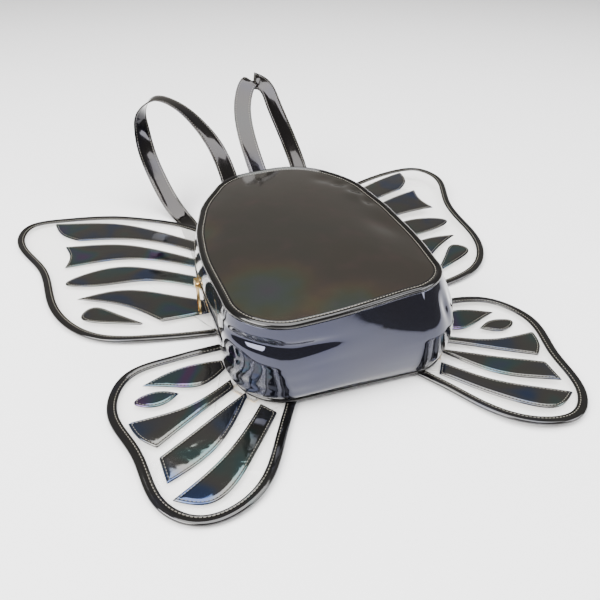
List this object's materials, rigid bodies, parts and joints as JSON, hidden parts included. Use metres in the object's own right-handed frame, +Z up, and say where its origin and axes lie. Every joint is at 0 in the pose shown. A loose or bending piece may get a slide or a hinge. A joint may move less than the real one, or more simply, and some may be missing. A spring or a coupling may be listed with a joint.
{
  "type": "fairy wings",
  "caption": "Mini backpack with a padded front flap, side zipper, shoulder strap loops and clear butterfly wings with sewn strips, lying on its back.",
  "frame": {"origin": "middle of the whole object's footprint, on the surface that it lies on", "axes": "+X across the bag towards its right-hand side as seen from the front, +Y from the bag's foot to the strap end, +Z up out of the front panel"},
  "size_m": [0.5626, 0.5572, 0.1456],
  "materials": {
    "patent_pu": "black patent faux leather, mirror gloss, with faint rainbow patches",
    "clear_pvc": "clear soft sheet, glossy",
    "lining": "plain woven lining, matt",
    "zipper_tape": "woven zipper tape, matt",
    "zipper_chain": "nylon coil",
    "gold_metal": "light gold plate, polished"
  },
  "bodies": {
    "bag": {"back_panel": "patent_pu", "rear_welt": "patent_pu", "rear_gusset": "patent_pu", "bottom_gusset": "patent_pu", "front_rim_lower": "patent_pu", "front_panel_lower": "patent_pu", "lining_rear": "lining", "zipper_tape_rear": "zipper_tape", "zipper_chain_rear": "zipper_chain", "zipper_end_stops": "gold_metal", "strap_patch": "patent_pu", "left_strap": "patent_pu", "right_strap": "patent_pu", "left_ring": "gold_metal", "right_ring": "gold_metal", "left_ring_tab": "patent_pu", "right_ring_tab": "patent_pu", "left_wing_root_panel": "clear_pvc", "left_wing_root_border": "patent_pu", "right_wing_root_panel": "clear_pvc", "right_wing_root_border": "patent_pu"},
    "front_flap": {"front_panel": "patent_pu", "front_rim": "patent_pu", "front_gusset": "patent_pu", "lining_front": "lining", "zipper_tape_front": "zipper_tape", "zipper_chain_front": "zipper_chain"},
    "slider": {"zipper_slider": "gold_metal"},
    "pull": {"pull_tab": "gold_metal"},
    "left_glide": {"left_strap_slider": "gold_metal"},
    "right_glide": {"right_strap_slider": "gold_metal"},
    "left_upper_wing": {"left_upper_wing_panel": "clear_pvc", "left_upper_wing_border": "patent_pu", "left_upper_wing_strip_1": "patent_pu", "left_upper_wing_strip_2": "patent_pu", "left_upper_wing_strip_3": "patent_pu", "left_upper_wing_strip_4": "patent_pu", "left_upper_wing_strip_5": "patent_pu"},
    "left_lower_wing": {"left_lower_wing_panel": "clear_pvc", "left_lower_wing_border": "patent_pu", "left_lower_wing_strip_1": "patent_pu", "left_lower_wing_strip_2": "patent_pu", "left_lower_wing_strip_3": "patent_pu", "left_lower_wing_strip_4": "patent_pu", "left_lower_wing_strip_5": "patent_pu"},
    "right_upper_wing": {"right_upper_wing_panel": "clear_pvc", "right_upper_wing_border": "patent_pu", "right_upper_wing_strip_1": "patent_pu", "right_upper_wing_strip_2": "patent_pu", "right_upper_wing_strip_3": "patent_pu", "right_upper_wing_strip_4": "patent_pu", "right_upper_wing_strip_5": "patent_pu"},
    "right_lower_wing": {"right_lower_wing_panel": "clear_pvc", "right_lower_wing_border": "patent_pu", "right_lower_wing_strip_1": "patent_pu", "right_lower_wing_strip_2": "patent_pu", "right_lower_wing_strip_3": "patent_pu", "right_lower_wing_strip_4": "patent_pu", "right_lower_wing_strip_5": "patent_pu"}
  },
  "joints": [
    {"name": "flap_hinge", "type": "hinge", "parent": "bag", "child": "front_flap", "pos_m": [0, -0.14045, 0.085], "axis": [1, 0, 0], "range_deg": [0, 60]},
    {"name": "zipper_slide", "type": "slide", "parent": "bag", "child": "slider", "axis": [0, 1, 0], "range_m": [-0.084, 0.008]},
    {"name": "pull_hinge", "type": "hinge", "parent": "slider", "child": "pull", "pos_m": [-0.1069, -0.04645, 0.046], "axis": [0, 1, 0], "range_deg": [0, 170]},
    {"name": "left_strap_adjust", "type": "slide", "parent": "bag", "child": "left_glide", "axis": [0, 1, 0], "range_m": [-0.03, 0.035]},
    {"name": "right_strap_adjust", "type": "slide", "parent": "bag", "child": "right_glide", "axis": [0, 1, 0], "range_m": [-0.03, 0.035]},
    {"name": "left_upper_wing_flex", "type": "hinge", "parent": "bag", "child": "left_upper_wing", "pos_m": [-0.0992, -0.02545, 0.0045], "axis": [0.1288, 0.9917, 0], "range_deg": [0, 40], "stiffness_Nm_per_rad": 0.3},
    {"name": "left_lower_wing_flex", "type": "hinge", "parent": "bag", "child": "left_lower_wing", "pos_m": [-0.1015, -0.15875, 0.0045], "axis": [-0.4226, 0.9063, 0], "range_deg": [0, 40], "stiffness_Nm_per_rad": 0.3},
    {"name": "right_upper_wing_flex", "type": "hinge", "parent": "bag", "child": "right_upper_wing", "pos_m": [0.0992, -0.02545, 0.0045], "axis": [0.1288, -0.9917, 0], "range_deg": [0, 40], "stiffness_Nm_per_rad": 0.3},
    {"name": "right_lower_wing_flex", "type": "hinge", "parent": "bag", "child": "right_lower_wing", "pos_m": [0.1015, -0.15875, 0.0045], "axis": [-0.4226, -0.9063, 0], "range_deg": [0, 40], "stiffness_Nm_per_rad": 0.3}
  ]
}
